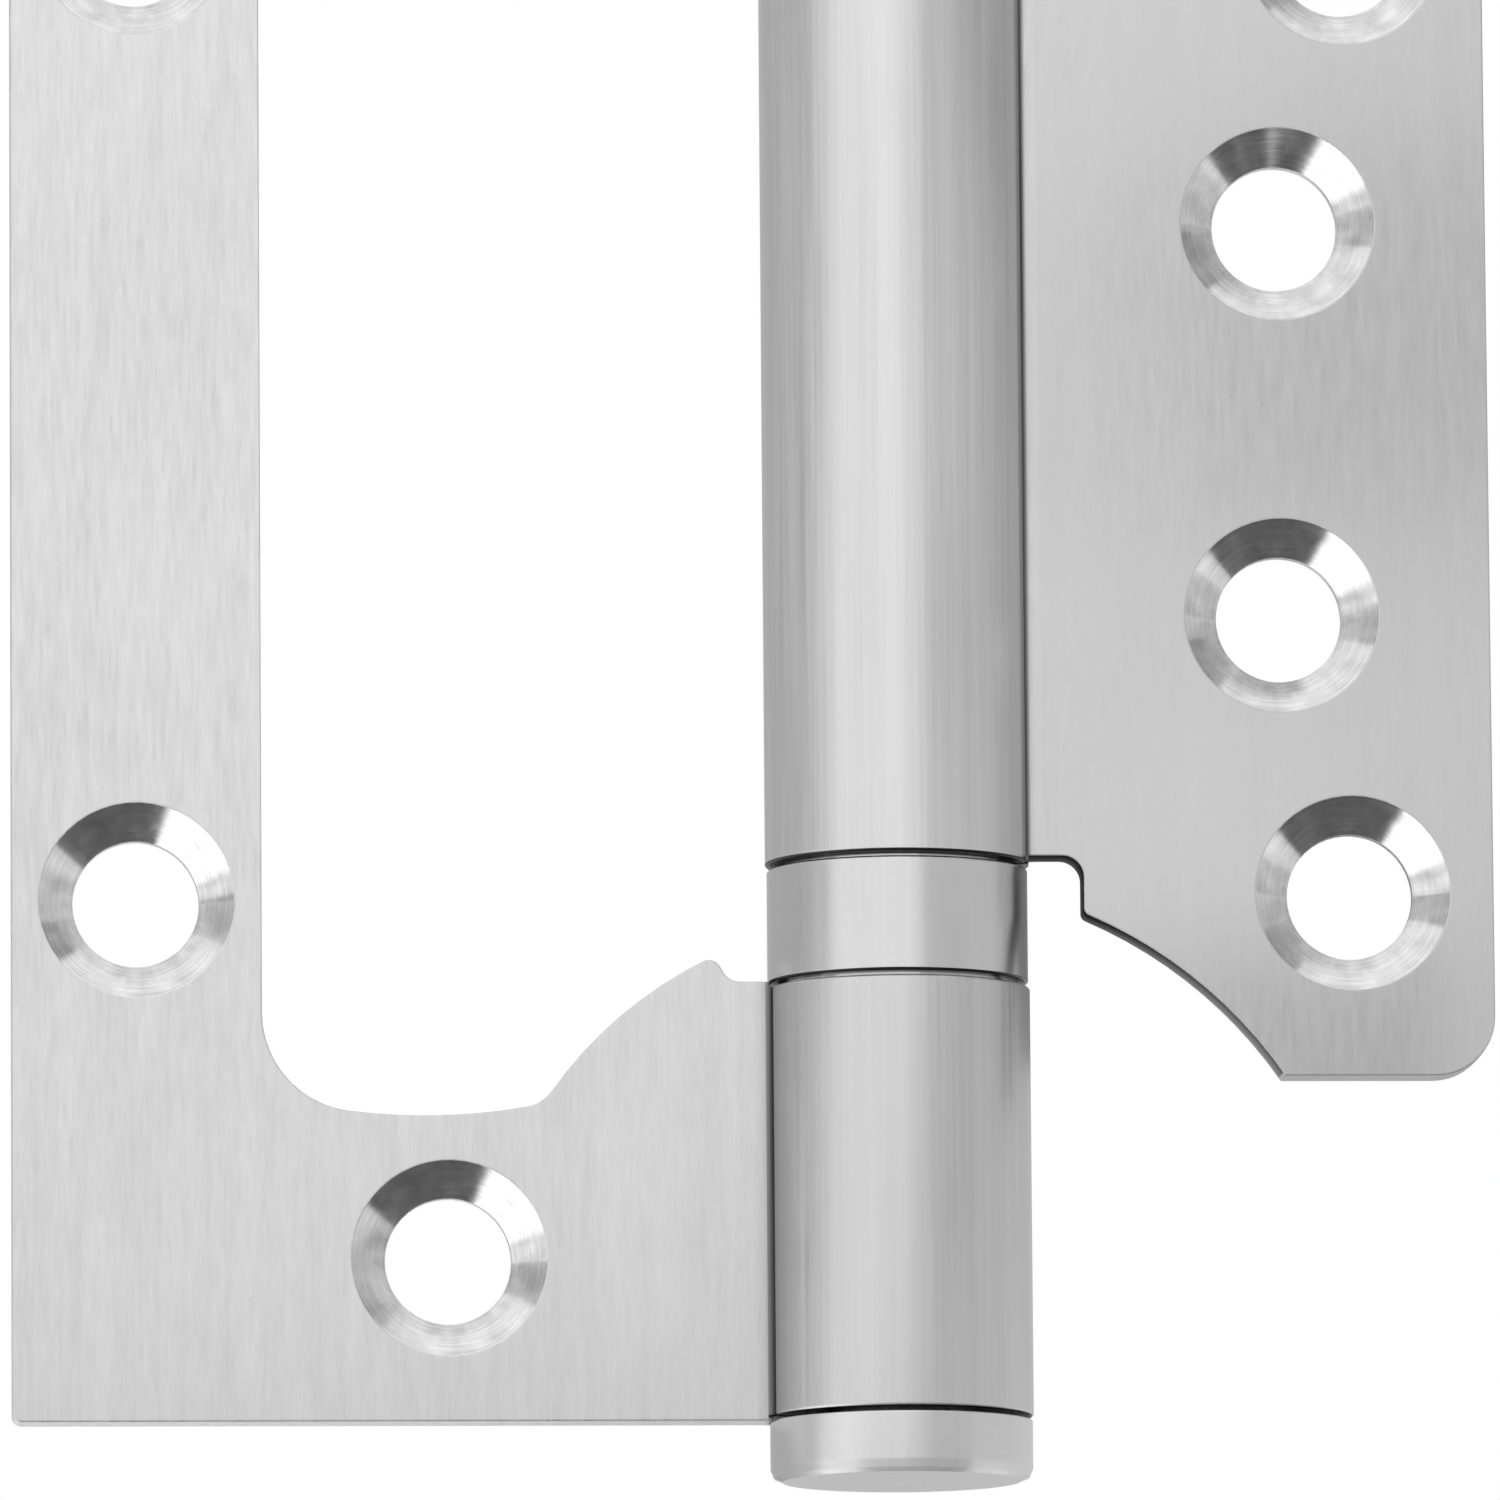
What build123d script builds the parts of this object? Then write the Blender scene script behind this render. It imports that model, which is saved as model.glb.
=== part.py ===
from build123d import *
from math import asin, atan2, cos, degrees, hypot, radians, sin, sqrt
import os

# Non-mortise ball bearing hinge in brushed stainless steel, shown open flat.
# Lengths are in millimetres. The origin is on the pin axis at mid-height.
# +Z runs up the pin, +X points to the door leaf, and -Y is the front, where the screws go in.
# Both leaves are drawn on the +X side, with u as the distance from the pin axis.
# The frame leaf is then mirrored over to the -X side.

# Sheet and barrel
sheet_thickness = 2.6        # both leaves are pressed from the same sheet
pin_diameter = 8.0
pin_clearance = 0.08         # running fit between the pin and every bore
bend_radius = 1.0            # inside radius of the bend at the back of each knuckle
tip_gap = 0.35               # from a leaf's front face to the end of its roll
tip_round = 0.2              # round on the outer corner of the roll's end
edge_break = 0.1             # chamfer on the outer rims of knuckles and shells
seam_gap = 0.24              # visible joint between neighbouring barrel pieces

# Frame leaf, the outer one with the window
frame_leaf_height = 102.0
frame_leaf_reach = 44.8      # pin axis to outer edge
frame_corner_radius = 0.5
knuckle_setback = 0.25       # how far both ends of a frame knuckle are faced back from the leaf's edges

# Door leaf, the inner one that folds into the window
door_leaf_height = 67.1
door_leaf_reach = 30.2
door_corner_radius = 3.0
door_knuckle_length = 45.5
notch_relief = 0.4           # how far the notch is cut above the end of the door knuckle
notch_width = 9.4            # pin axis to the notch's upright edge
notch_corner_radius = 1.1
notch_foot_radius = 0.4
curve_radius = 23.0          # curved lower edge of the door leaf
curve_centre_u = 0.5
curve_centre_z = 46.5        # above and below mid-height

# Window of the frame leaf
nest_clearance = 2.0         # all round between the folded door leaf and the window
window_floor_radius = 30.0   # the window's ends are slightly bowed
window_floor_u = 24.0        # where that bow is deepest
window_corner_radius = 5.0
flank_foot_radius = 2.0
tooth_u = 9.4                # pin axis to the tip of the tooth beside the knuckle
tooth_lean = 32.0            # of the tooth's near side, in degrees from upright
tooth_round = 0.7
tooth_foot_radius = 1.0

# Countersunk screw holes
screw_hole_diameter = 6.4
countersink_diameter = 9.9
countersink_angle = 86.0
strip_hole_z = 24.6          # frame leaf, upright strip
arm_hole_u = 22.8            # frame leaf, arms
arm_hole_inset = 8.25        # from the leaf's end
inner_hole_u = 19.6          # door leaf, inner pair
inner_hole_z = 10.05
outer_hole_u = 23.05         # door leaf, outer pair
outer_hole_z = 24.25

# End caps, pressed into the frame knuckles until they meet the pin
cap_thickness = 3.0
cap_diameter = 13.25
cap_round = 0.6              # rounding of the cap's end, drawn in two steps
cap_spigot_length = 4.0      # how far the spigot reaches into the knuckle
press_clearance = 0.02       # left between pressed faces

# Ball bearings, one at each end of the door knuckle
bearing_height = 6.27        # from knuckle to knuckle
shell_diameter = 13.2
shell_wall = 0.5
ball_diameter = 1.588
ball_count = 8
ball_clearance = 0.04        # between a ball and its races
race_clearance = 0.15        # between the turning race and the shell
cage_thickness = 0.5
cage_side_gap = 0.15         # from the cage to the pin and to the shell
pocket_clearance = 0.08

# Sizes that follow from those above
half_sheet = sheet_thickness / 2
pin_radius = pin_diameter / 2
bore_radius = pin_radius + pin_clearance
knuckle_radius = bore_radius + sheet_thickness
door_knuckle_end = door_knuckle_length / 2
notch_step_z = notch_relief - door_knuckle_end
frame_knuckle_start = door_knuckle_end + bearing_height
frame_edge_start = frame_knuckle_start - knuckle_setback
frame_leaf_end = frame_leaf_height / 2
frame_knuckle_end = frame_leaf_end - knuckle_setback
arm_hole_z = frame_leaf_end - arm_hole_inset
door_leaf_end = door_leaf_height / 2
window_reach = door_leaf_reach + nest_clearance
window_end = door_leaf_end + nest_clearance
tooth_radius = curve_radius - nest_clearance
strip_hole_u = (frame_leaf_reach + window_reach) / 2
bend_centre_y = half_sheet + bend_radius
bend_start_u = sqrt((knuckle_radius + bend_radius) ** 2 - bend_centre_y**2)
bend_angle = degrees(atan2(bend_centre_y, bend_start_u))
tip_angle = degrees(asin((half_sheet + tip_gap) / knuckle_radius))
tip_gap_angle = degrees(tip_gap / knuckle_radius)
screw_hole_radius = screw_hole_diameter / 2
countersink_radius = countersink_diameter / 2
countersink_slope = radians(90 - countersink_angle / 2)
countersink_depth = (countersink_radius - screw_hole_radius) * sin(countersink_slope) / cos(countersink_slope)
shell_radius = shell_diameter / 2
shell_bore_radius = shell_radius - shell_wall
ball_radius = ball_diameter / 2
pitch_radius = (bore_radius + shell_bore_radius) / 2
race_height = bearing_height / 2 - ball_radius - ball_clearance
pin_half_length = frame_knuckle_end - cap_spigot_length
overcut = 1.0                # how far cutting shapes run past what they cut


def polar(radius, angle, centre=(0, 0)):
    """Point at an angle in degrees round a centre."""
    return (centre[0] + radius * cos(radians(angle)), centre[1] + radius * sin(radians(angle)))


def arc(radius, start, end, centre=(0, 0)):
    """Circular arc between two angles in degrees."""
    middle = (start + end) / 2
    return ThreePointArc(*(polar(radius, angle, centre) for angle in (start, middle, end)))


def nearest_corner(sketch, u, z):
    """The sketch's corner that lies nearest to a point."""
    return min(sketch.vertices(), key=lambda corner: hypot(corner.X - u, corner.Y - z))


def box_sketch(low_u, high_u, low_z, high_z):
    """Rectangle between two distances from the pin and two heights."""
    middle = ((low_u + high_u) / 2, (low_z + high_z) / 2)
    return Pos(*middle) * Rectangle(high_u - low_u, high_z - low_z)


def both_ends(half):
    """A sketch or solid of the lower half together with its mirror image above."""
    plane = Plane.XZ if isinstance(half, Sketch) else Plane.XY
    return half + mirror(half, about=plane)


def rolled_section():
    """Section of a knuckle seen down the pin: the sheet bends back and rolls round to its own front."""
    bend_centre = (bend_start_u, bend_centre_y)
    towards_pin = 180 + bend_angle
    roll_end = 360 - tip_angle
    outline = [
        arc(bend_radius + sheet_thickness, 270, towards_pin, bend_centre),
        arc(bore_radius, bend_angle, roll_end),
        Line(polar(bore_radius, roll_end), polar(knuckle_radius, roll_end)),
        arc(knuckle_radius, roll_end, bend_angle),
        arc(bend_radius, towards_pin, 270, bend_centre),
        Line((bend_start_u, half_sheet), (bend_start_u, -half_sheet)),
    ]
    section = make_face(Wire(outline))
    return fillet(nearest_corner(section, *polar(knuckle_radius, roll_end)), tip_round)


def knuckle(low, high):
    """One rolled knuckle between two heights, its outer rims broken all round the roll."""
    barrel = Pos(0, 0, low) * extrude(rolled_section(), high - low)
    for end, outward in ((low, -1), (high, 1)):
        rim = Polyline(
            (knuckle_radius - 2 * edge_break, end + outward * edge_break),
            (knuckle_radius + 2 * edge_break, end + outward * edge_break),
            (knuckle_radius + 2 * edge_break, end - outward * 3 * edge_break),
            close=True,
        )
        trim = revolve(Plane.XZ * make_face(rim), Axis.Z, 360 - bend_angle - tip_angle + tip_gap_angle / 2)
        barrel -= Rot(0, 0, bend_angle) * trim
    return barrel


def beside_barrel(low, high):
    """The bend that leads from a leaf to its knuckle, without the barrel itself."""
    return Pos(0, 0, low) * extrude(rolled_section() - Circle(knuckle_radius), high - low)


def flat(outline):
    """A leaf's flat part, its sheet lying evenly about the pin axis."""
    return extrude(Plane.XZ * outline, half_sheet, both=True)


def screw_hole(u, z):
    """Cutter for one screw hole, countersunk from the front."""
    drill = Cylinder(screw_hole_radius, sheet_thickness + 2 * overcut)
    widening = overcut * (countersink_radius - screw_hole_radius) / countersink_depth
    cone = Cone(
        screw_hole_radius,
        countersink_radius + widening,
        countersink_depth + overcut,
        align=(Align.CENTER, Align.CENTER, Align.MIN),
    )
    cutter = drill + Pos(0, 0, half_sheet - countersink_depth) * cone
    return Pos(u, 0, z) * Rot(90, 0, 0) * cutter


def drill_pairs(leaf, places):
    """Cuts each screw hole and its twin above mid-height."""
    for u, z in places:
        leaf -= screw_hole(u, -z)
        leaf -= screw_hole(u, z)
    return leaf


def lower_window():
    """Lower half of the window that the door leaf folds into, with the tooth beside the knuckle."""
    floor_centre_z = window_floor_radius - window_end
    bow = Pos(window_floor_u, floor_centre_z) * Circle(window_floor_radius)
    opening = box_sketch(0, window_reach, -window_end - overcut, 0) & bow
    opening -= Pos(curve_centre_u, -curve_centre_z) * Circle(tooth_radius)
    tip_z = sqrt(tooth_radius**2 - (tooth_u - curve_centre_u) ** 2) - curve_centre_z
    tooth_side = tip_z + frame_edge_start
    side_run = tooth_side * sin(radians(tooth_lean)) / cos(radians(tooth_lean))
    foot_u = tooth_u - side_run
    opening += make_face(Polyline(
        (0, 0), (0, -frame_edge_start), (foot_u, -frame_edge_start),
        (tooth_u + side_run, tip_z + tooth_side), (tooth_u + side_run, 0),
        close=True,
    ))
    opening = fillet(nearest_corner(opening, window_reach, -window_end), window_corner_radius)
    opening = fillet(nearest_corner(opening, window_reach / 2, -window_end), flank_foot_radius)
    foot = nearest_corner(opening, foot_u, -frame_edge_start)
    opening = fillet(foot, min(tooth_foot_radius, tooth_side / 1.4))
    return fillet(nearest_corner(opening, tooth_u, tip_z), min(tooth_round, tooth_side / 2))


def frame_leaf():
    """Outer leaf: upright strip, two arms and the two outer knuckles, round an open window."""
    plate = box_sketch(bend_start_u, frame_leaf_reach, -frame_leaf_end, frame_leaf_end)
    outer = [nearest_corner(plate, frame_leaf_reach, side * frame_leaf_end) for side in (-1, 1)]
    plate = fillet(outer, frame_corner_radius)
    plate -= both_ends(lower_window())
    roll = knuckle(-frame_knuckle_end, -frame_knuckle_start)
    roll += beside_barrel(-frame_leaf_end, -frame_knuckle_end)
    roll += beside_barrel(-frame_knuckle_start, -frame_edge_start)
    leaf = flat(plate) + both_ends(roll)
    leaf = drill_pairs(leaf, [(strip_hole_u, strip_hole_z), (arm_hole_u, arm_hole_z)])
    return mirror(leaf, about=Plane.YZ)


def lower_notch():
    """Cut-out below the door leaf that clears the bearing, the frame knuckle and the tooth."""
    notch = box_sketch(0, notch_width, -door_leaf_end - overcut, notch_step_z)
    notch = fillet(nearest_corner(notch, notch_width, notch_step_z), notch_corner_radius)
    return notch + Pos(curve_centre_u, -curve_centre_z) * Circle(curve_radius)


def door_leaf():
    """Inner leaf with the central knuckle, cut away at both ends to fold inside the frame leaf."""
    plate = box_sketch(bend_start_u, door_leaf_reach, -door_leaf_end, door_leaf_end)
    outer = [nearest_corner(plate, door_leaf_reach, side * door_leaf_end) for side in (-1, 1)]
    plate = fillet(outer, door_corner_radius)
    plate -= both_ends(lower_notch())
    foot_z = curve_centre_z - sqrt(curve_radius**2 - (notch_width - curve_centre_u) ** 2)
    feet = [nearest_corner(plate, notch_width, side * foot_z) for side in (-1, 1)]
    plate = fillet(feet, notch_foot_radius)
    roll = knuckle(-door_knuckle_end, door_knuckle_end)
    roll -= both_ends(beside_barrel(-door_knuckle_end, notch_step_z))
    leaf = flat(plate) + roll
    return drill_pairs(leaf, [(inner_hole_u, inner_hole_z), (outer_hole_u, outer_hole_z)])


def hinge_pin():
    """Straight pin that fills the barrel between the two caps."""
    return Cylinder(pin_radius, 2 * pin_half_length)


def bottom_cap():
    """Round cap below the barrel, with a pressed spigot; stopped by the pin, it leaves the visible seam."""
    top = cap_spigot_length - frame_knuckle_end
    under = -frame_knuckle_end - seam_gap
    foot = under - cap_thickness
    spigot = bore_radius - press_clearance
    rim = cap_diameter / 2
    round_centre = (rim - cap_round, foot + cap_round)
    rounding = [polar(cap_round, angle, round_centre) for angle in (0, -45, -90)]
    half = make_face(Polyline(
        (0, top), (spigot, top), (spigot, under), (rim, under), *rounding, (0, foot),
        close=True,
    ))
    return revolve(Plane.XZ * half, Axis.Z)


def race(outer_radius):
    """Flat thrust washer that the balls run on."""
    return extrude(Circle(outer_radius) - Circle(bore_radius), race_height)


def shell():
    """Plain sleeve that covers a bearing and shows as the ring between two knuckles."""
    length = bearing_height - 2 * seam_gap
    half = box_sketch(shell_bore_radius, shell_radius, -length / 2, length / 2)
    rims = [nearest_corner(half, shell_radius, side * length / 2) for side in (-1, 1)]
    half = chamfer(rims, edge_break)
    return revolve(Plane.XZ * half, Axis.Z)


def cage():
    """Flat ring with a square pocket for each ball."""
    ring = Circle(shell_bore_radius - cage_side_gap) - Circle(pin_radius + cage_side_gap)
    pocket_width = ball_diameter + 2 * pocket_clearance
    ring -= PolarLocations(pitch_radius, ball_count) * Rectangle(pocket_width, pocket_width)
    return extrude(ring, cage_thickness / 2, both=True)


def ball():
    """Bearing ball, drawn with flats so that the sealed sets stay light."""
    side_count = 8
    corners = [(0, 0, -ball_radius), (0, 0, ball_radius)]
    for height in (-45, 0, 45):
        ring_radius, z = polar(ball_radius, height)
        corners += [(*polar(ring_radius, 360 / side_count * side), z) for side in range(side_count)]
    return ConvexPolyhedron(corners)


def bearing(name, centre_z, fixed_side):
    """Every piece of one bearing; its fixed race is the one against the frame knuckle."""
    middle = Pos(0, 0, centre_z)
    fixed = race(shell_bore_radius - press_clearance)
    turning = race(shell_bore_radius - race_clearance)
    lower, upper = (fixed, turning) if fixed_side < 0 else (turning, fixed)
    pieces = {
        f"{name}_shell": middle * shell(),
        f"{name}_lower_race": middle * Pos(0, 0, -bearing_height / 2) * lower,
        f"{name}_upper_race": middle * Pos(0, 0, bearing_height / 2 - race_height) * upper,
        f"{name}_cage": middle * cage(),
    }
    for number, place in enumerate(PolarLocations(pitch_radius, ball_count), start=1):
        pieces[f"{name}_ball_{number}"] = middle * place * ball()
    return pieces


def hinge():
    """All pieces by name, with the hinge open flat."""
    bearing_centre = door_knuckle_end + bearing_height / 2
    pieces = {
        "frame_leaf": frame_leaf(),
        "door_leaf": door_leaf(),
        "hinge_pin": hinge_pin(),
        "bottom_cap": bottom_cap(),
        "top_cap": mirror(bottom_cap(), about=Plane.XY),
    }
    pieces |= bearing("lower_bearing", -bearing_centre, -1)
    pieces |= bearing("upper_bearing", bearing_centre, 1)
    return pieces


os.makedirs("parts", exist_ok=True)
for node, piece in hinge().items():
    export_step(piece, f"parts/{node}.step")
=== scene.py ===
import math

import bpy
from mathutils import Matrix, Vector

# Looks of the ball bearing hinge, in brushed and satin stainless steel. Lengths are in metres.

MM = 0.001

# Camera, below the hinge and a little to its left
CAMERA_LEFT = 3.417          # degrees
CAMERA_BELOW = 7.551         # degrees
CAMERA_ROLL = -0.434         # degrees
CAMERA_DISTANCE = 874.86 * MM
CAMERA_AIM = (-7.392 * MM, 0, -16.799 * MM)
SENSOR = 36.0
LENS = 414.6

# Where the details are: distance from the pin, and height above or below the middle
BARREL_RADIUS = 6.7 * MM
ROLL_REACH = 6.9 * MM                # what lies nearer to the pin than this is rolled, not flat
FLAT_START = 8.4 * MM
ROLL_END = (6.45 * MM, -1.6 * MM)    # groove where a roll ends in front of its own leaf
DOOR_RIM = 22.62 * MM                # rims beside the barrel's seams, where shade is painted
SHELL_RIM = 28.65 * MM
FRAME_RIM = 50.70 * MM
RIM_HEIGHT = 0.15 * MM
CAP_FOOT = 53.35 * MM                # start of the round at a cap's end
CAP_UNDERSIDE = 53.5 * MM
HOLE_RADIUS = 3.5 * MM
FRAME_HOLES = ((38.5 * MM, 24.6 * MM), (22.8 * MM, 42.75 * MM))
DOOR_HOLES = ((19.6 * MM, 10.05 * MM), (23.05 * MM, 24.25 * MM))

# Where a painted shade starts to change, and where it has changed
GROOVE_FADE = (0.14 * MM, 0.34 * MM)     # aside from the groove at the roll's end
NOOK_FADE = (0.3 * MM, 3.0 * MM)         # round the same groove, on the barrel
CUT_FADE = (-1.0 * MM, 1.3 * MM)         # through the sheet, from its front to its back
GLANCE_FADE = (9.5 * MM, 18.0 * MM)      # along a cut edge, away from the barrel

# How much a face looks along an axis: 0 is not at all, 1 is straight along it
HALF_TURNED = 0.5
MOSTLY_LEVEL = 0.8
SQUARE_ON = 0.9
QUITE_LEVEL = 0.95

# The metal
# Painted shade: the end faces inside the barrel's seams are near black
PAINTED_SEAM_SHADE = 0.03
# Painted shade: how much darker a rim beside a seam is
PAINTED_RIM_SHADE = 0.93
SHEET_ROUGHNESS = 0.34
CUT_ROUGHNESS = 0.4
COUNTERSINK_LEVEL = 0.78
COUNTERSINK_ROUGHNESS = 0.17
COUNTERSINK_LEAN = ((0.0, -1.0, 0.0), 0.245)    # towards the front
CAP_ROUND_LEAN = 6.0                 # away from the barrel's axis

# The studio
WORLD_LIGHT = 0.9
FLOOR_REACH = 3.0
FLOOR_HEIGHT = -0.3
LOW_CARD_HEIGHT = -0.28
GLOW_HEIGHT = 0.06                   # a card's shade changes up to here, above and below the middle
CARD_STEP = 8.0                      # degrees from bend to bend in an upright card


class Shader:
    """A material's node tree, with short ways to add to it."""

    def __init__(self, name):
        self.material = bpy.data.materials.new(name)
        self.material.use_nodes = True
        self.tree = self.material.node_tree
        self.tree.nodes.clear()
        coordinates = self.node("ShaderNodeTexCoord")
        self.place = coordinates.outputs["Object"]
        self.x, self.y, self.z = self.split(self.place)
        facing = self.split(coordinates.outputs["Normal"])
        self.facing_y, self.facing_z = (self.math("ABSOLUTE", part) for part in (facing[1], facing[2]))
        self.radius = self.length(self.x, self.y)

    def node(self, kind, values=(), **settings):
        """Adds a node. values gives its inputs, each a constant or another node's output."""
        made = self.tree.nodes.new(kind)
        for key, value in settings.items():
            setattr(made, key, value)
        for key, value in dict(values).items():
            if isinstance(value, bpy.types.NodeSocket):
                self.tree.links.new(value, made.inputs[key])
            else:
                made.inputs[key].default_value = value
        return made

    def math(self, operation, *values):
        return self.node("ShaderNodeMath", enumerate(values), operation=operation).outputs[0]

    def split(self, vector):
        return self.node("ShaderNodeSeparateXYZ", {0: vector}).outputs

    def join(self, *values):
        return self.node("ShaderNodeCombineXYZ", enumerate(values)).outputs[0]

    def vector(self, operation, values):
        return self.node("ShaderNodeVectorMath", values, operation=operation).outputs[0]

    def grey(self, level):
        return self.node("ShaderNodeCombineColor", {"Red": level, "Green": level, "Blue": level}).outputs[0]

    def length(self, first, second):
        squares = [self.math("MULTIPLY", part, part) for part in (first, second)]
        return self.math("SQRT", self.math("ADD", *squares))

    def varied(self, value, variation):
        """The value, more or less by a share of itself."""
        return self.math("MULTIPLY", value, self.math("ADD", 1.0, variation))

    def dimmed(self, value, share):
        """The value less a share of itself."""
        return self.math("MULTIPLY", value, self.math("SUBTRACT", 1.0, share))

    def between(self, value, low, high):
        """1 where the value lies between low and high, else 0."""
        above, under = self.math("GREATER_THAN", value, low), self.math("LESS_THAN", value, high)
        return self.math("MULTIPLY", above, under)

    def remap(self, value, from_low, from_high, to_low, to_high):
        """Turns from_low into to_low and from_high into to_high, evenly between them and level beyond."""
        names = ("Value", "From Min", "From Max", "To Min", "To Max")
        inputs = dict(zip(names, (value, from_low, from_high, to_low, to_high)))
        return self.node("ShaderNodeMapRange", inputs).outputs["Result"]

    def mix(self, share, first, second):
        """Blend of two numbers: the first at a share of 0, the second at 1."""
        inputs = {"Factor": share, "A": first, "B": second}
        return self.node("ShaderNodeMix", inputs, data_type="FLOAT").outputs[0]

    def noise(self, vector, scale, detail=2.0, roughness=0.5):
        """Noise of about -0.5 to 0.5 with its own scale along each axis."""
        scaled = self.vector("MULTIPLY", {0: vector, 1: scale})
        inputs = {"Vector": scaled, "Scale": 1.0, "Detail": detail, "Roughness": roughness}
        return self.math("SUBTRACT", self.node("ShaderNodeTexNoise", inputs).outputs[0], 0.5)

    def lean(self, normal, direction, amount):
        """Leans a normal towards a direction given in the object's own axes."""
        axes = {"convert_from": "OBJECT", "convert_to": "WORLD"}
        turned = self.node("ShaderNodeVectorTransform", {0: direction}, **axes).outputs[0]
        part = self.vector("SCALE", {0: turned, "Scale": amount})
        return self.vector("NORMALIZE", {0: self.vector("ADD", {0: normal, 1: part})})

    def finish(self, level, roughness, height, bump, rounding, leaning=None, **extra):
        """Ends the tree in a metal surface, or in what the extra inputs say.

        level is the grey, height and bump make the relief, rounding is the radius at the edges,
        and leaning a direction and an amount.
        """
        normal = self.node("ShaderNodeBevel", {"Radius": rounding}, samples=6).outputs[0]
        if leaning:
            normal = self.lean(normal, *leaning)
        relief = {"Strength": 1.0, "Distance": bump, "Height": height, "Normal": normal}
        surface = self.node("ShaderNodeBsdfPrincipled", {
            "Base Color": self.grey(level),
            "Metallic": 1.0,
            "Roughness": roughness,
            "Normal": self.node("ShaderNodeBump", relief).outputs[0],
            **extra,
        })
        self.node("ShaderNodeOutputMaterial", {"Surface": surface.outputs[0]})
        return self.material


def brushed(shader, fine_length, broad_length, share):
    """Upright brushing: fine lines, and the same with a share of broader bands among them."""
    fine = shader.noise(shader.place, (4200.0, 4200.0, fine_length), 2.0, 0.6)
    broad = shader.noise(shader.place, (900.0, 900.0, broad_length), 2.0)
    return fine, shader.math("ADD", fine, shader.math("MULTIPLY", broad, share))


def painted_rim_shade(shader, rim):
    """Painted shade on the narrow rim beside a seam of the barrel."""
    within = shader.between(shader.math("ABSOLUTE", shader.z), rim, rim + RIM_HEIGHT)
    return shader.math("MULTIPLY", PAINTED_RIM_SHADE, within)


def around_nearer_hole(shader, holes):
    """Distance from the axis of the nearer of two screw holes, and the angle round it."""
    across, height = shader.math("ABSOLUTE", shader.x), shader.math("ABSOLUTE", shader.z)
    distances, angles = [], []
    for u, hole_z in holes:
        du, dz = shader.math("SUBTRACT", across, u), shader.math("SUBTRACT", height, hole_z)
        distances.append(shader.length(du, dz))
        angles.append(shader.math("ARCTAN2", dz, du))
    nearer = shader.math("LESS_THAN", distances[0], distances[1])
    return shader.mix(nearer, distances[1], distances[0]), shader.mix(nearer, angles[1], angles[0])


def painted_groove_shade(s, side, rim, groove, nook):
    """Share of painted shade in the groove at the roll's end, on the barrel beside it and at its rim."""
    rolled = s.math("LESS_THAN", s.radius, ROLL_REACH)
    aside = s.math("SUBTRACT", s.math("MULTIPLY", s.x, side), ROLL_END[0])
    from_roll_end = s.length(aside, s.math("SUBTRACT", s.y, ROLL_END[1]))
    on_barrel = s.math("MULTIPLY", rolled, s.remap(from_roll_end, *NOOK_FADE, nook, 0.0))
    in_groove = s.remap(s.math("ABSOLUTE", aside), *GROOVE_FADE, groove, 0.0)
    in_groove = s.math("MULTIPLY", s.math("LESS_THAN", s.y, 0.0), in_groove)
    shade = s.math("MAXIMUM", on_barrel, in_groove)
    return s.math("MAXIMUM", shade, s.math("MULTIPLY", rolled, painted_rim_shade(s, rim)))


def leaf_zones(s):
    """1 or 0 for the cut edges, the countersinks and the knuckle's end faces."""
    flat = s.math("GREATER_THAN", s.math("ABSOLUTE", s.x), FLAT_START)
    level_end = s.math("GREATER_THAN", s.facing_z, MOSTLY_LEVEL)
    outside = s.math("GREATER_THAN", s.radius, BARREL_RADIUS)
    beside = s.math("MAXIMUM", flat, s.math("MULTIPLY", level_end, outside))
    cut = s.math("MULTIPLY", beside, s.math("LESS_THAN", s.facing_y, HALF_TURNED))
    sunk = s.math("MULTIPLY", flat, s.between(s.facing_y, HALF_TURNED, SQUARE_ON))
    barrel_end = s.math("MULTIPLY", level_end, s.math("SUBTRACT", 1.0, outside))
    return cut, sunk, barrel_end


def turning_marks(s, distance, angle, fineness, turns, detail):
    """Noise that runs round a screw hole, as a cutter leaves it."""
    place = s.join(s.math("MULTIPLY", distance, fineness), s.math("MULTIPLY", angle, turns), 0.0)
    return s.noise(place, (1.0, 1.0, 1.0), detail)


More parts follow.
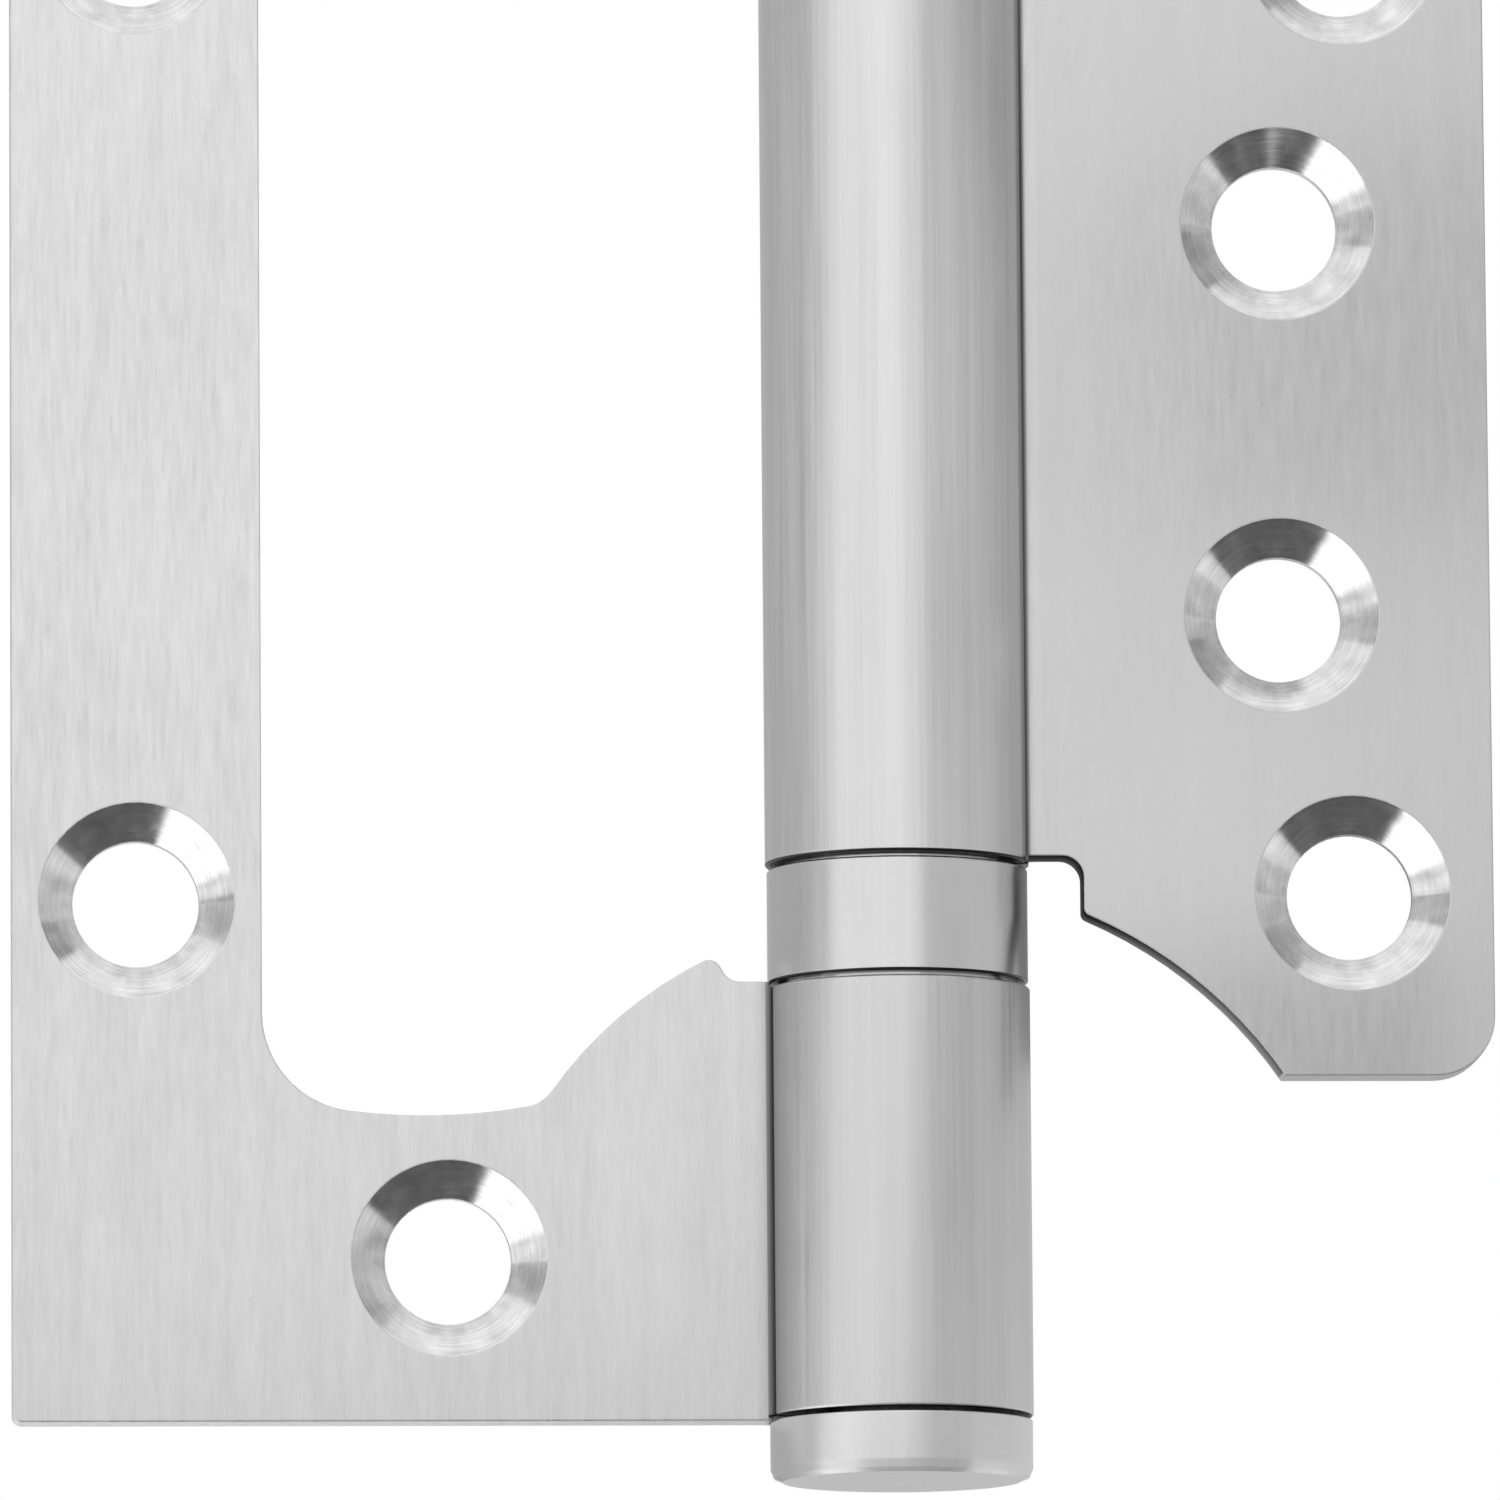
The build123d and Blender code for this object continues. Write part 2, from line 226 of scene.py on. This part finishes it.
def leaf_steel(name, side, holes, rim, base, brushing, groove, nook, cut_levels, near, glances):
    """Brushed sheet with machined countersinks and plain cut edges.

    side is 1 for a leaf on the right; rim is where the knuckle's rim, with its painted shade, starts.
    base and brushing have a value for the flat sheet and one for the roll.
    groove and nook are the painted shade in the groove at the roll's end and on the barrel beside it.
    cut_levels are for the front and the back of a cut edge near the barrel, and for edges away from it;
    low ones near the barrel are painted shade. near is how far aside and how high near goes;
    glances are an edge's edge-on brightness within it, and low ones are painted shade.
    """
    s = Shader(name)
    rolled = s.math("LESS_THAN", s.radius, ROLL_REACH)
    cut, sunk, barrel_end = leaf_zones(s)
    distance, angle = around_nearer_hole(s, holes)
    cut = s.math("MULTIPLY", cut, s.math("GREATER_THAN", distance, HOLE_RADIUS))

    flat_fine, flat_pattern = brushed(s, 480.0, 60.0, 0.33)
    rolled_fine, rolled_pattern = brushed(s, 60.0, 14.0, 0.8)
    flat_pattern = s.math("MULTIPLY", flat_pattern, brushing[0])
    rolled_pattern = s.math("MULTIPLY", rolled_pattern, brushing[1])
    fine, pattern = s.mix(rolled, flat_fine, rolled_fine), s.mix(rolled, flat_pattern, rolled_pattern)
    cloud = s.noise(s.place, (110.0, 110.0, 90.0), 3.0)
    level = s.varied(s.mix(rolled, *base), s.math("ADD", pattern, s.math("MULTIPLY", cloud, 0.07)))

    rings = turning_marks(s, distance, angle, 9000.0, 1.5, 3.0)
    patches = turning_marks(s, distance, angle, 900.0, 4.0, 2.0)
    marks = s.math("ADD", s.math("MULTIPLY", rings, 0.5), s.math("MULTIPLY", patches, 0.5))
    level = s.mix(sunk, level, s.math("ADD", COUNTERSINK_LEVEL, marks))

    across, height = s.math("ABSOLUTE", s.x), s.math("ABSOLUTE", s.z)
    away = s.math("MAXIMUM", s.math("GREATER_THAN", across, near[0]), s.math("GREATER_THAN", height, near[1]))
    # Painted shade on cut edges near the barrel: their grey from cut_levels, their edge-on brightness from
    # glances
    cut_level = s.mix(away, s.remap(s.y, *CUT_FADE, *cut_levels[:2]), cut_levels[2])
    glance = s.mix(away, s.remap(across, *GLANCE_FADE, *glances), 1.0)
    level = s.mix(cut, level, s.varied(cut_level, pattern))
    # Painted shade in the groove at the roll's end, on the barrel beside it and on the knuckle's rim
    level = s.dimmed(level, painted_groove_shade(s, side, rim, groove, nook))
    # Painted shade: the knuckle's end faces inside the barrel's seams are near black
    level = s.mix(barrel_end, level, PAINTED_SEAM_SHADE)

    rough = s.math("ADD", SHEET_ROUGHNESS, s.math("MULTIPLY", fine, 0.3))
    sunk_rough = s.math("ADD", COUNTERSINK_ROUGHNESS, s.math("MULTIPLY", patches, 0.12))
    rough = s.mix(cut, s.mix(sunk, rough, sunk_rough), CUT_ROUGHNESS)
    direction, amount = COUNTERSINK_LEAN
    return s.finish(
        level,
        rough,
        height=s.mix(sunk, fine, s.math("MULTIPLY", rings, 1.2)),
        bump=0.002 * MM,
        rounding=s.mix(sunk, 0.15 * MM, 0.04 * MM),
        leaning=(direction, s.math("MULTIPLY", sunk, amount)),
        **{
            # edge-on brightness of cut edges, dimmed near the barrel as painted shade
            "Specular Tint": s.grey(s.mix(cut, 1.0, glance)),
            "Tangent": s.join(0.0, 0.0, 1.0),
            "Anisotropic": 0.5,
            "Anisotropic Rotation": 0.25,
        },
    )


def turned_steel(name, base, roughness, strength, rim=0.0):
    """Satin steel of the round pieces, with faint lines round the barrel, and painted shade that makes the
    faces in its seams near black.
    """
    s = Shader(name)
    height = s.math("ABSOLUTE", s.z)
    on_end = s.math("MULTIPLY", s.radius, s.math("GREATER_THAN", s.facing_z, HALF_TURNED))
    lines = s.noise(s.join(on_end, s.z, s.x), (9000.0, 9000.0, 90.0), 3.0, 0.6)
    upright = s.noise(s.place, (2500.0, 2500.0, 120.0), 2.0)
    cloud = s.noise(s.place, (150.0, 150.0, 150.0), 2.0)
    marks = s.math("ADD", s.math("ADD", lines, upright), cloud)
    level = s.varied(base, s.math("MULTIPLY", marks, strength))
    # Painted shade: end faces inside the barrel's seams are near black
    inside = s.math("LESS_THAN", height, CAP_UNDERSIDE)
    seam = s.math("MULTIPLY", inside, s.math("GREATER_THAN", s.facing_z, SQUARE_ON))
    level = s.mix(seam, level, PAINTED_SEAM_SHADE)
    # Painted shade on the rim beside a seam
    if rim:
        level = s.dimmed(level, painted_rim_shade(s, rim))
    rough = s.math("ADD", roughness, s.math("MULTIPLY", cloud, 0.1))
    outward = s.vector("NORMALIZE", {0: s.join(s.x, s.y, 0.0)})
    at_foot, rounded = s.math("GREATER_THAN", height, CAP_FOOT), s.math("LESS_THAN", s.facing_z, QUITE_LEVEL)
    leaning = (outward, s.math("MULTIPLY", s.math("MULTIPLY", at_foot, rounded), CAP_ROUND_LEAN))
    return s.finish(level, rough, lines, bump=0.001 * MM, rounding=0.12 * MM, leaning=leaning)


def moulded(name, base):
    """Nylon of the bearing cages."""
    s = Shader(name)
    grain = s.noise(s.place, (4000.0, 4000.0, 4000.0), 2.0)
    level = s.math("ADD", base, s.math("MULTIPLY", grain, 0.04))
    rough = s.math("ADD", 0.45, s.math("MULTIPLY", grain, 0.2))
    return s.finish(level, rough, grain, bump=0.004 * MM, rounding=0.05 * MM, **{"Metallic": 0.0})


def glow(name, low, high):
    """Grey of a studio card, from a low level below the hinge to a high one above it."""
    s = Shader(name)
    level = s.remap(s.z, -GLOW_HEIGHT, GLOW_HEIGHT, low, high)
    light = s.node("ShaderNodeEmission", {"Strength": level})
    s.node("ShaderNodeOutputMaterial", {"Surface": light.outputs[0]})
    return s.material


def card(name, corners, low, high=None):
    """Flat or bent studio card that only reflections see, of one level or of a low and a high one."""
    mesh = bpy.data.meshes.new(name)
    faces = [(i, i + 2, i + 3, i + 1) for i in range(0, len(corners) - 2, 2)]
    mesh.from_pydata(corners, [], faces)
    mesh.materials.append(glow(name, low, low if high is None else high))
    made = bpy.data.objects.new(name, mesh)
    bpy.context.scene.collection.objects.link(made)
    made.visible_camera = False
    made.visible_shadow = False
    made.visible_diffuse = False


def upright_card(name, bearings, radius, heights, low, high=None):
    """Card bent round the hinge between two bearings in degrees: 0 is the front and 90 the right."""
    start, end = bearings
    steps = max(2, int(abs(end - start) / CARD_STEP))
    corners = []
    for i in range(steps + 1):
        bearing = math.radians(start + (end - start) * i / steps)
        x, y = radius * math.sin(bearing), -radius * math.cos(bearing)
        corners += [(x, y, height) for height in heights]
    card(name, corners, low, high)


def level_card(name, across, deep, level):
    """Level card below the hinge, between two values of x and two of y."""
    card(name, [(x, y, LOW_CARD_HEIGHT) for x in across for y in deep], level)


def area_lamp(name, place, target, size, power):
    lamp = bpy.data.lights.new(name, "AREA")
    lamp.shape = "RECTANGLE"
    lamp.size, lamp.size_y = size
    lamp.energy = power
    made = bpy.data.objects.new(name, lamp)
    made.location = place
    made.rotation_euler = (Vector(target) - Vector(place)).to_track_quat("-Z", "Y").to_euler()
    made.visible_glossy = False
    bpy.context.scene.collection.objects.link(made)


def white_world():
    """World that is white to the camera and to reflections, and a little less as a light."""
    world = bpy.data.worlds.new("studio")
    bpy.context.scene.world = world
    world.use_nodes = True
    tree = world.node_tree
    tree.nodes.clear()
    rays = tree.nodes.new("ShaderNodeLightPath")
    seen = rays.outputs["Is Camera Ray"]
    for kind in ("Is Glossy Ray", "Is Transmission Ray"):
        either = tree.nodes.new("ShaderNodeMath")
        either.operation = "MAXIMUM"
        tree.links.new(seen, either.inputs[0])
        tree.links.new(rays.outputs[kind], either.inputs[1])
        seen = either.outputs[0]
    level = tree.nodes.new("ShaderNodeMapRange")
    level.inputs["To Min"].default_value = WORLD_LIGHT
    level.inputs["To Max"].default_value = 1.0
    tree.links.new(seen, level.inputs["Value"])
    background = tree.nodes.new("ShaderNodeBackground")
    background.inputs["Color"].default_value = (1.0, 1.0, 1.0, 1.0)
    tree.links.new(level.outputs["Result"], background.inputs["Strength"])
    end = tree.nodes.new("ShaderNodeOutputWorld")
    tree.links.new(background.outputs[0], end.inputs["Surface"])


def grey_cards():
    """The cards that shade the steel: each upright one by its bearings, each level one by its x and y."""
    upright_card("card_right", (17, 60), radius=0.16, heights=(-0.09, 0.35), low=0.64, high=0.60)
    upright_card("card_right_near", (17, 50), radius=0.045, heights=(0.0, 0.020), low=0.65)
    upright_card("card_right_low", (18, 56), radius=0.034, heights=(-0.040, -0.0245), low=0.58)
    upright_card("card_right_foot", (4, 17), radius=0.16, heights=(-0.09, -0.036), low=0.62)
    upright_card("card_side", (60, 110), radius=0.16, heights=(-0.055, 0.045), low=0.64, high=0.60)
    upright_card("card_side_high", (60, 110), radius=0.16, heights=(0.045, 0.16), low=0.33)
    upright_card("card_back_right", (110, 172), radius=0.20, heights=(-0.09, 0.35), low=0.75, high=0.45)
    upright_card("card_back_near", (116, 152), radius=0.03, heights=(-0.030, -0.017), low=0.2)
    upright_card("card_back_left", (-172, -80), radius=0.30, heights=(-0.10, 0.20), low=0.46, high=0.52)
    upright_card("card_left", (-78, -65), radius=0.30, heights=(-0.008, 0.15), low=0.43)
    upright_card("card_high_front", (-30, 10), radius=0.20, heights=(0.05, 0.35), low=1.15)
    upright_card("card_low_back", (171, 180), radius=0.35, heights=(-0.27, -0.085), low=0.5)
    upright_card("card_low_front", (-40, 60), radius=0.12, heights=(-0.12, -0.052), low=0.4)
    level_card("card_below", (-0.13, 0.45), (-0.28, 0.16), level=0.12)
    level_card("card_low_left", (-3.0, -0.13), (-0.42, 0.12), level=1.5)


def pale_floor():
    """Matt paper, clear where it is seen from below."""
    signs = ((-1, -1), (1, -1), (1, 1), (-1, 1))
    corners = [(x * FLOOR_REACH, y * FLOOR_REACH, FLOOR_HEIGHT) for x, y in signs]
    mesh = bpy.data.meshes.new("floor")
    mesh.from_pydata(corners, [], [(0, 1, 2, 3)])
    paper = Shader("paper")
    matt = paper.node("ShaderNodeBsdfDiffuse", {"Color": (0.93, 0.93, 0.93, 1.0)})
    under = paper.node("ShaderNodeBsdfTransparent")
    back = paper.node("ShaderNodeNewGeometry").outputs["Backfacing"]
    seen = paper.node("ShaderNodeMixShader", {0: back, 1: matt.outputs[0], 2: under.outputs[0]})
    paper.node("ShaderNodeOutputMaterial", {"Surface": seen.outputs[0]})
    mesh.materials.append(paper.material)
    floor = bpy.data.objects.new("floor", mesh)
    bpy.context.scene.collection.objects.link(floor)


def studio():
    """White world, pale floor, a soft lamp, and the grey cards that shade the steel."""
    white_world()
    grey_cards()
    pale_floor()
    area_lamp("lamp_above", place=(-0.1, -0.1, 0.9), target=(0, 0, 0), size=(0.8, 0.8), power=0.35)


def place_camera():
    data = bpy.data.cameras.new("camera")
    data.sensor_width = SENSOR
    data.lens = LENS
    data.clip_start, data.clip_end = 0.05, 20.0
    made = bpy.data.objects.new("camera", data)
    bpy.context.scene.collection.objects.link(made)
    left, below, roll = (math.radians(angle) for angle in (CAMERA_LEFT, -CAMERA_BELOW, CAMERA_ROLL))
    back = Vector((-math.sin(left) * math.cos(below), -math.cos(left) * math.cos(below), math.sin(below)))
    right = (-back).cross(Vector((0, 0, 1))).normalized()
    up = right.cross(-back)
    turned_right = math.cos(roll) * right + math.sin(roll) * up
    turned_up = math.cos(roll) * up - math.sin(roll) * right
    axes = Matrix((turned_right, turned_up, back)).transposed()
    made.matrix_world = Matrix.Translation(Vector(CAMERA_AIM) + back * CAMERA_DISTANCE) @ axes.to_4x4()
    bpy.context.scene.camera = made


def dress(material, *nodes):
    """Gives CAD nodes a material, whose name is the record's slot."""
    for node in nodes:
        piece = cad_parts[node]
        piece.data.materials.clear()
        piece.data.materials.append(material)


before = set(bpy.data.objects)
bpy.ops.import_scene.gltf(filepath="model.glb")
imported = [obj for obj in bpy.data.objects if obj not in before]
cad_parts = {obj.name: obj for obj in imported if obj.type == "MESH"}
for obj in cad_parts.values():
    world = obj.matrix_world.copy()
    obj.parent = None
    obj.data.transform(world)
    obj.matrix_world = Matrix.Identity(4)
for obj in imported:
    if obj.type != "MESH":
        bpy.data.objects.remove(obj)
for imported in list(bpy.data.materials):
    bpy.data.materials.remove(imported)
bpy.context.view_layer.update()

dress(leaf_steel(
    "frame_leaf_steel", -1.0, FRAME_HOLES, FRAME_RIM, base=(0.72, 0.69), brushing=(0.44, 0.22),
    groove=0.36, nook=0.5, cut_levels=(0.8, 0.8, 0.8), near=(0.0, 0.0), glances=(1.0, 1.0),
), "frame_leaf")
# The door leaf's dark cut_levels and low glances are painted shade on its cut edges near the barrel
dress(leaf_steel(
    "door_leaf_steel", 1.0, DOOR_HOLES, DOOR_RIM, base=(0.68, 0.74), brushing=(0.17, 0.26),
    groove=0.6, nook=0.0, cut_levels=(0.03, 0.35, 0.5), near=(20.5 * MM, 33.4 * MM), glances=(0.12, 0.9),
), "door_leaf")
dress(turned_steel("pin_steel", 0.62, 0.22, 0.05), "hinge_pin")
dress(turned_steel("cap_steel", 0.76, 0.28, 0.07), "bottom_cap", "top_cap")
bearing_materials = {
    "_shell": turned_steel("shell_steel", 0.72, 0.26, 0.07, SHELL_RIM),
    "_race": turned_steel("race_steel", 0.5, 0.15, 0.05),
    "_ball": turned_steel("ball_steel", 0.6, 0.06, 0.02),
    "_cage": moulded("cage_plastic", 0.62),
}
for word, material in bearing_materials.items():
    dress(material, *(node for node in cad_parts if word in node))

studio()
place_camera()
bpy.context.scene.view_settings.view_transform = "Standard"
